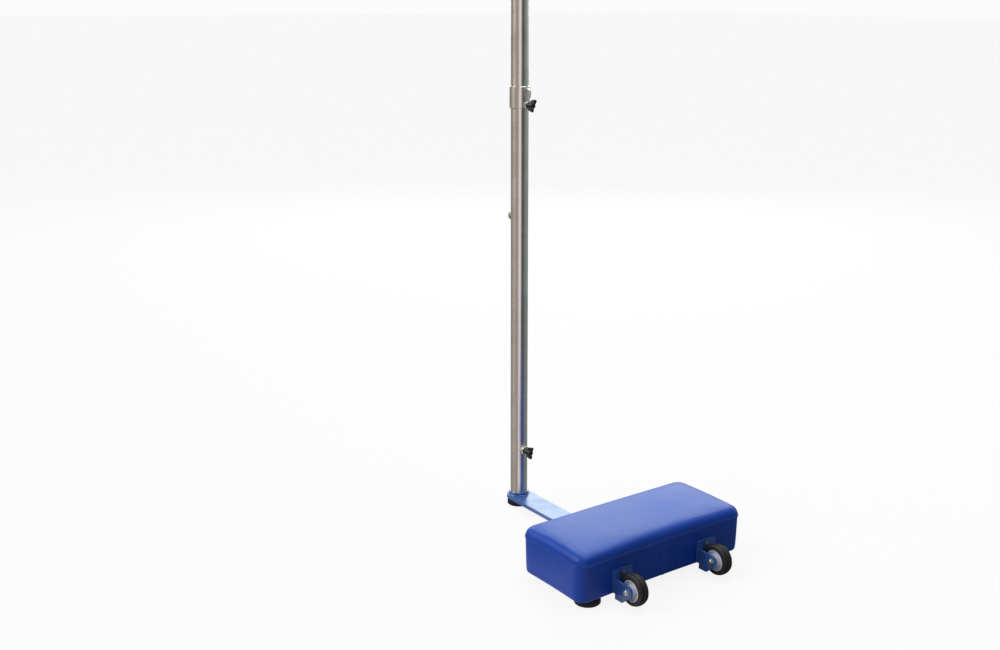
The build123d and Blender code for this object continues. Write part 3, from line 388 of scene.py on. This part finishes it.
def profile_rows():
    """(inset, height) of each ring, from the hem's inner edge to where the top edge's arc ends."""
    rows = [(hem, cover_bottom), (lean + hem_edge, cover_bottom)]
    for turn in (30, 60, 90):
        a = math.radians(turn)
        rows.append((lean + hem_edge * (1 - math.sin(a)), cover_bottom + hem_edge * (1 - math.cos(a))))
    heights = even(cover_bottom + hem_edge, slot_top, step)[1:]
    heights += even(slot_top, welt_z - 0.008, step)[1:]
    heights += [welt_z - seam_half, welt_z, welt_z + seam_half, cover_top - edge]
    rise = cover_top - cover_bottom
    rows += [(lean * (1 - (h - cover_bottom) / rise), h) for h in heights]
    for turn in (15, 30, 45, 60, 75, 90):
        a = math.radians(turn)
        rows.append((edge * (1 - math.cos(a)), cover_top - edge * (1 - math.sin(a))))
    return rows


def crown(x, y):
    """How far the top panel lies below its middle."""
    return dome * (x / half_x) ** 2 + dome * (y / half_y) ** 2


def on_outline(x, y, inset):
    """A point of the straight rectangle, moved to the round-cornered outline at that inset."""
    radius = corner - inset
    over_x, over_y = abs(x) - corner_x, abs(y) - corner_y
    if radius <= 0 or over_x <= 0 or over_y <= 0:
        return x, y
    share_x, share_y = over_x / radius, over_y / radius
    angle = math.radians(45 * share_y if share_x >= share_y else 90 - 45 * share_x)
    out_x = corner_x + radius * math.cos(angle)
    out_y = corner_y + radius * math.sin(angle)
    return math.copysign(out_x, x), math.copysign(out_y, y)


def rectangle_ring(xs, ys):
    """Grid indexes round the rim of the grid, anticlockwise."""
    last_x, last_y = len(xs) - 1, len(ys) - 1
    ring = [(i, 0) for i in range(last_x)]
    ring += [(last_x, j) for j in range(last_y)]
    ring += [(i, last_y) for i in range(last_x, 0, -1)]
    ring += [(0, j) for j in range(last_y, 0, -1)]
    return ring


def widened(value, inner, half, inset):
    """A grid coordinate of the rim, moved out to the ring at that inset."""
    size = abs(value)
    middle = half - corner
    if size >= inner - 1e-9:
        wide = size / inner * (half - inset)
    elif size > middle:
        wide = middle + (size - middle) / (corner - edge) * (corner - inset)
    else:
        return value
    return math.copysign(wide, value)


def build_cover():
    """The cover's mesh, a grid for the top with rings down to the hem, and its rings from the hem up."""
    corner_lines = even(0, corner - edge, corner_step)
    xs = mirrored([inner_x - c for c in corner_lines] + even(0, inner_x - corner_lines[-1], step))
    ys = mirrored([inner_y - c for c in corner_lines] + [0.0]
                  + even(slot_side, inner_y - corner_lines[-1], step) + even(0, slot_side, step))
    mesh = bmesh.new()
    ring = rectangle_ring(xs, ys)
    grid = {}
    for i, x in enumerate(xs):
        for j, y in enumerate(ys):
            inset = min(half_x - abs(x), half_y - abs(y))
            px, py = on_outline(x, y, inset)
            grid[i, j] = mesh.verts.new((middle_x + px, py, cover_top - crown(px, py)))
    rings = []
    for inset, height in profile_rows()[:-1]:
        # The top panel's crown fades out over the upper fifth of the side
        share = max(0.0, (height - cover_bottom) / (cover_top - cover_bottom) - 0.8) * 5
        verts = []
        for i, j in ring:
            wide_x = widened(xs[i], inner_x, half_x, inset)
            wide_y = widened(ys[j], inner_y, half_y, inset)
            px, py = on_outline(wide_x, wide_y, inset)
            verts.append(mesh.verts.new((middle_x + px, py, height - crown(px, py) * share)))
        rings.append(verts)
    rings.append([grid[key] for key in ring])
    for below, above in zip(rings, rings[1:]):
        for k in range(len(ring)):
            after = (k + 1) % len(ring)
            mesh.faces.new((below[k], below[after], above[after], above[k]))
    for i in range(len(xs) - 1):
        for j in range(len(ys) - 1):
            mesh.faces.new((grid[i, j], grid[i + 1, j], grid[i + 1, j + 1], grid[i, j + 1]))
    mesh.normal_update()
    return mesh, rings


def surface_tree(data):
    return BVHTree.FromPolygons([v.co for v in data.vertices], [tuple(p.vertices) for p in data.polygons])


def snap_to_node(mesh, node, reach):
    """Each point goes to the nearest point of a CAD node's surface, where that is near."""
    tree = surface_tree(nodes[node].data)
    for vert in mesh.verts:
        found, normal, _, distance = tree.find_nearest(vert.co)
        if found is not None and distance < reach and normal.dot(vert.normal) > 0.5:
            vert.co = found


cover_mesh, cover_rings = build_cover()
snap_to_node(cover_mesh, "vinyl_cover", 0.006)
# The slot that the arm goes through
cut = [
    face for face in cover_mesh.faces
    if max(v.co.x for v in face.verts) < middle_x - half_x + 0.02
    and max(abs(v.co.y) for v in face.verts) < slot_side + slot_gap
    and max(v.co.z for v in face.verts) < slot_top + slot_gap
]
bmesh.ops.delete(cover_mesh, geom=cut, context="FACES")
cover_mesh.verts.ensure_lookup_table()
cover_mesh.verts.index_update()
seam_row = min(range(len(cover_rings)), key=lambda k: abs(cover_rings[k][0].co.z - welt_z))
seam_indexes = [v.index for v in cover_rings[seam_row]]
seam_below = [v.index for v in cover_rings[seam_row - 1]]
seam_above = [v.index for v in cover_rings[seam_row + 1]]
hem_indexes = [v.index for ring in cover_rings[:2] for v in ring if v.is_valid]
rim_indexes = [v.index for v in cover_mesh.verts if v.is_boundary]
cover = own_mesh("cover_vinyl", cover_mesh, finishes["vinyl"])


def evened(mesh, moves, held, rounds):
    """The moves of a mesh's points, averaged with their neighbours' in rounds; held points stay."""
    near = [[] for _ in mesh.vertices]
    for a, b in (tuple(line.vertices) for line in mesh.edges):
        near[a].append(b)
        near[b].append(a)
    for _ in range(rounds):
        moves = [
            Vector() if i in held
            else (move + sum((moves[k] for k in near[i]), Vector())) / (len(near[i]) + 1)
            for i, move in enumerate(moves)
        ]
    return moves


def plate_room(place):
    """How free a point of the cover is to move: 0 within 6 mm of a bracket, 1 from 46 mm on."""
    free = 1.0
    for least, most in plates:
        gap = Vector([max(a - p, 0.0, p - b) for a, p, b in zip(least, place, most)]).length
        free = min(free, max(0.0, min(1.0, (gap - 0.006) / 0.04)))
    return free


def puff(obj, pinned, pressure, cap, frames, rounds):
    """Blows the panels up between the pinned rows, evens the moves, and keeps each within cap."""
    group = obj.vertex_groups.new(name="pinned")
    group.add(sorted(set(pinned)), 1.0, "REPLACE")
    cloth = obj.modifiers.new("cloth", "CLOTH")
    settings = cloth.settings
    settings.quality = 5
    settings.mass = 0.3
    settings.tension_stiffness = 18
    settings.compression_stiffness = 12
    settings.shear_stiffness = 6
    settings.bending_stiffness = 1.5
    settings.vertex_group_mass = "pinned"
    settings.use_pressure = True
    settings.uniform_pressure_force = pressure
    settings.effector_weights.gravity = 0
    cloth.collision_settings.use_collision = False
    cloth.point_cache.frame_start = 1
    cloth.point_cache.frame_end = frames
    scene = bpy.context.scene
    for number in range(1, frames + 1):
        scene.frame_set(number)
    blown = obj.evaluated_get(bpy.context.evaluated_depsgraph_get()).data
    moved = [v.co.copy() for v in blown.vertices]
    scene.frame_set(1)
    obj.modifiers.remove(cloth)
    moves = []
    for vert, new in zip(obj.data.vertices, moved):
        out = max(0.0, (new - vert.co).dot(vert.normal))
        moves.append(vert.normal * (cap * math.tanh(out / cap) * plate_room(vert.co)))
    held = set(hem_indexes + rim_indexes)
    for vert, move in zip(obj.data.vertices, evened(obj.data, moves, held, rounds)):
        vert.co += move
    obj.vertex_groups.clear()


puff(cover, seam_indexes + hem_indexes + rim_indexes, pressure=4.0, cap=0.0026, frames=20, rounds=26)


def bead(name, points, outward, radius, finish):
    """A round bead along a closed row of points, each with its direction away from the cover."""
    sides = 10
    mesh = bmesh.new()
    rings = []
    for i, point in enumerate(points):
        along = (points[(i + 1) % len(points)] - points[i - 1]).normalized()
        out = (outward[i] - along * outward[i].dot(along)).normalized()
        side = along.cross(out)
        rings.append([
            mesh.verts.new(point + (out * math.cos(a) + side * math.sin(a)) * radius)
            for a in (2 * math.pi * k / sides for k in range(sides))
        ])
    for first, second in zip(rings, rings[1:] + rings[:1]):
        for k in range(sides):
            mesh.faces.new((first[k], first[(k + 1) % sides], second[(k + 1) % sides], second[k]))
    bmesh.ops.recalc_face_normals(mesh, faces=mesh.faces)
    return own_mesh(name, mesh, finish)


def walk(points, outward, spacing, closed):
    """Places at even steps along a row of points: (place, direction along, direction out)."""
    count = len(points)
    spans = [(i, (i + 1) % count) for i in range(count if closed else count - 1)]
    lengths = [(points[b] - points[a]).length for a, b in spans]
    total = sum(lengths)
    steps = max(1, round(total / spacing))
    places = []
    span, before = 0, 0.0
    for number in range(steps):
        target = total * (number + 0.5) / steps
        while before + lengths[span] < target:
            before += lengths[span]
            span += 1
        a, b = spans[span]
        share = (target - before) / lengths[span]
        places.append((
            points[a].lerp(points[b], share),
            (points[b] - points[a]).normalized(),
            outward[a].lerp(outward[b], share).normalized(),
        ))
    return places


def stitches(name, rows, closed=True):
    """Rows of thread stitches, each a short bead that dips into the cover at both ends."""
    spacing, length, radius = 0.0042, 0.0031, 0.00042
    mesh = bmesh.new()
    # Along the stitch in its lengths, its thickness and its height in thread radii
    profile = ((-0.5, 0.35, -0.9), (-0.34, 0.85, 0.1), (0.0, 1.0, 0.5), (0.34, 0.85, 0.1), (0.5, 0.35, -0.9))
    for points, outward in rows:
        for place, along, out in walk(points, outward, spacing, closed):
            side = along.cross(out).normalized()
            up = side.cross(along).normalized()
            rings = []
            for where, size, lift in profile:
                center = place + along * (where * length) + up * (lift * radius)
                rings.append([
                    mesh.verts.new(center + (side * math.cos(a) + up * math.sin(a)) * (radius * size))
                    for a in (math.pi * k / 3 for k in range(6))
                ])
            for first, second in zip(rings, rings[1:]):
                for k in range(6):
                    mesh.faces.new((first[k], first[(k + 1) % 6], second[(k + 1) % 6], second[k]))
            mesh.faces.new(list(reversed(rings[0])))
            mesh.faces.new(rings[-1])
    bmesh.ops.recalc_face_normals(mesh, faces=mesh.faces)
    return own_mesh(name, mesh, thread_finish)


def on_cover(indexes, lift):
    """Points and outward directions of some of the cover's points, lifted off it."""
    verts = cover.data.vertices
    outward = [verts[i].normal.copy() for i in indexes]
    points = [verts[i].co + verts[i].normal * lift for i in indexes]
    return points, outward


cover.data.update()
welt_points, welt_outward = on_cover(seam_indexes, 0.0004)
welt = bead("cover_piping", welt_points, welt_outward, 0.0013, finishes["vinyl"])
seam_stitches = stitches("seam_stitches", [on_cover(seam_below, 0.0001), on_cover(seam_above, 0.0001)])

smooth = cover.modifiers.new("smooth", "SUBSURF")
smooth.levels = 1
smooth.render_levels = 1
thick = cover.modifiers.new("thick", "SOLIDIFY")
thick.thickness = skin
thick.offset = -1


def lap_seam():
    """The upright joint in the side band, a lap of vinyl with a row of stitches down each side."""
    tree = surface_tree(cover.data)
    # The lap's section: places across it, and their heights off the cover
    across = (-0.0065, -0.006, -0.003, 0.003, 0.006, 0.0065)
    lifts = (-0.0009, 0.0006, 0.0008, 0.0008, 0.0006, -0.0009)
    stitch_inset, stitch_lift = 0.0018, 0.0007
    start_x, inward = middle_x + half_x + 0.05, Vector((-1, 0, 0))
    mesh = bmesh.new()
    rows, left, right = [], [], []
    for height in even(cover_bottom + 0.0025, welt_z - 0.0012, 0.005):
        row = []
        for y, lift in zip(across, lifts):
            found, normal, _, _ = tree.ray_cast(Vector((start_x, y, height)), inward)
            row.append(mesh.verts.new(found + normal * lift))
            if y == across[1]:
                left.append((found + normal * stitch_lift + Vector((0, stitch_inset, 0)), normal))
            if y == across[4]:
                right.append((found + normal * stitch_lift - Vector((0, stitch_inset, 0)), normal))
        rows.append(row)
    for first, second in zip(rows, rows[1:]):
        for k in range(len(across) - 1):
            mesh.faces.new((first[k], first[k + 1], second[k + 1], second[k]))
    bmesh.ops.recalc_face_normals(mesh, faces=mesh.faces)
    lap = own_mesh("cover_lap", mesh, finishes["vinyl"])
    soften = lap.modifiers.new("smooth", "SUBSURF")
    soften.levels = 1
    soften.render_levels = 1
    sides = [([p for p, _ in side], [n for _, n in side]) for side in (left, right)]
    return lap, stitches("lap_stitches", sides, closed=False)


lap, lap_stitches = lap_seam()


def foam_padding():
    """The foam inside the cover, from its CAD solid, with its skin's cell pattern."""
    mesh = bmesh.new()
    mesh.from_mesh(nodes["foam_jacket"].data)
    bmesh.ops.remove_doubles(mesh, verts=mesh.verts, dist=0.00005)
    return own_mesh("foam_padding", mesh, finishes["foam"], smooth=False)


padding = foam_padding()
for piece, slot_name in (
    (cover, "vinyl"), (welt, "vinyl"), (seam_stitches, "vinyl"), (lap, "vinyl"),
    (lap_stitches, "vinyl"), (padding, "foam"),
):
    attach(piece, "base")
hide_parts("vinyl_cover")
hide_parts("cover_welt")
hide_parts("foam_jacket")


# Floor, studio surroundings and lamps. The tones are (degrees from +X towards +Y, colour).
near_tones = (
    (-180, (0.28, 0.26, 0.24)), (-130, (0.35, 0.32, 0.28)), (-70, (0.37, 0.33, 0.30)),
    (-52, (0.38, 0.33, 0.32)), (-41, (0.92, 0.88, 0.89)), (-20, (0.92, 0.88, 0.89)),
    (-9, (0.060, 0.062, 0.068)), (12, (0.050, 0.058, 0.062)), (32, (0.15, 0.18, 0.175)),
)
floor_tones = near_tones + (
    (90, (0.22, 0.24, 0.24)), (150, (0.16, 0.165, 0.165)), (180, (0.28, 0.26, 0.24)),
)
wall_tones = near_tones + (
    (80, (0.60, 0.66, 0.66)), (110, (1.02, 1.40, 1.16)), (160, (1.02, 1.40, 1.16)),
    (180, (0.28, 0.26, 0.24)),
)


def studio_tones(tree, place, tones):
    """Brightness round the studio by direction: a pale gap near the lens, a dark flag, grey walls."""
    parts = tree.add("ShaderNodeSeparateXYZ")
    tree.join(place, parts.inputs[0])
    angle = tree.math("ARCTAN2", parts.outputs["Y"], parts.outputs["X"])
    ramp = tree.add("ShaderNodeValToRGB")
    ramp.color_ramp.interpolation = "B_SPLINE"
    elements = ramp.color_ramp.elements
    while len(elements) > 1:
        elements.remove(elements[-1])
    for number, (degrees, color) in enumerate(tones):
        where = (degrees + 180) / 360
        element = elements[0] if number == 0 else elements.new(where)
        element.position = where
        element.color = (*color, 1)
    tree.join(tree.spread(angle, -math.pi, math.pi), ramp.inputs["Fac"])
    return ramp.outputs["Color"]


def floor_finish():
    """White paper with a faint shadow for the lens, mid grey for what it lights, tones in reflections."""
    material = bpy.data.materials.new("floor")
    material.use_nodes = True
    tree = Tree(material.node_tree)
    tree.tree.nodes.clear()
    rays = tree.add("ShaderNodeLightPath").outputs
    place = tree.add("ShaderNodeTexCoord").outputs["Object"]
    matt = tree.surface("ShaderNodeBsdfDiffuse", (0.38, 0.38, 0.38))
    paper = tree.surface("ShaderNodeBsdfDiffuse", (0.84, 0.80, 0.82))
    white = tree.surface("ShaderNodeEmission", (1, 1, 1), 1.0)
    tones = tree.surface("ShaderNodeEmission", studio_tones(tree, place, floor_tones))
    seen = tree.choose(rays["Is Camera Ray"], matt, tree.choose(0.88, paper, white))
    out = tree.add("ShaderNodeOutputMaterial")
    tree.join(tree.choose(rays["Is Glossy Ray"], seen, tones), out.inputs["Surface"])
    return material


def surroundings():
    """White for the lens, uneven soft light brightest from -X and -Y, tones in reflections."""
    world = bpy.data.worlds.new("studio")
    bpy.context.scene.world = world
    world.use_nodes = True
    tree = Tree(world.node_tree)
    tree.tree.nodes.clear()
    rays = tree.add("ShaderNodeLightPath").outputs
    direction = tree.add("ShaderNodeTexCoord").outputs["Generated"]
    toward = tree.add("ShaderNodeVectorMath", operation="DOT_PRODUCT")
    tree.join(direction, toward.inputs[0])
    toward.inputs[1].default_value = (-0.57, -0.82, 0.0)
    by_side = tree.spread(toward.outputs["Value"], -1.0, 1.0, 0.08, 0.52)
    ambient = tree.surface("ShaderNodeBackground", (0.93, 0.96, 1.0), by_side)
    glossy = tree.surface("ShaderNodeBackground", studio_tones(tree, direction, wall_tones))
    white = tree.surface("ShaderNodeBackground", (0.96, 0.96, 0.96))
    seen = tree.math("MAXIMUM", rays["Is Camera Ray"], rays["Is Transmission Ray"])
    out = tree.add("ShaderNodeOutputWorld")
    lit = tree.choose(rays["Is Glossy Ray"], ambient, glossy)
    tree.join(tree.choose(seen, lit, white), out.inputs["Surface"])


floor_mesh = bmesh.new()
bmesh.ops.create_grid(floor_mesh, x_segments=8, y_segments=8, size=60)
floor = own_mesh("floor", floor_mesh, floor_finish())
surroundings()


def lamp(data, place, target, energy, color):
    """A lamp at a place, turned to a target."""
    data.energy = energy
    data.color = color
    obj = bpy.data.objects.new(data.name, data)
    bpy.context.collection.objects.link(obj)
    obj.location = place
    obj.rotation_euler = (Vector(target) - Vector(place)).to_track_quat("-Z", "Y").to_euler()
    obj.visible_camera = False


def soft_box(name, width, height):
    """The data of a rectangular lamp."""
    data = bpy.data.lights.new(name, "AREA")
    data.shape = "RECTANGLE"
    data.size, data.size_y = width, height
    return data


key = bpy.data.lights.new("key", "SUN")
key.angle = math.radians(36)
lamp(key, (-1.6, -3.2, 3.2), (0.3, 0.0, 0.3), 1.45, (1.0, 0.985, 0.96))
lamp(soft_box("top", 2.6, 2.0), (0.4, 0.9, 3.8), (0.4, 0.0, 0.2), 58, (0.84, 1.0, 0.97))
lamp(soft_box("back", 4.5, 2.6), (-3.6, 2.9, 2.5), (0.4, 0.0, 0.1), 110, (0.86, 1.0, 0.93))
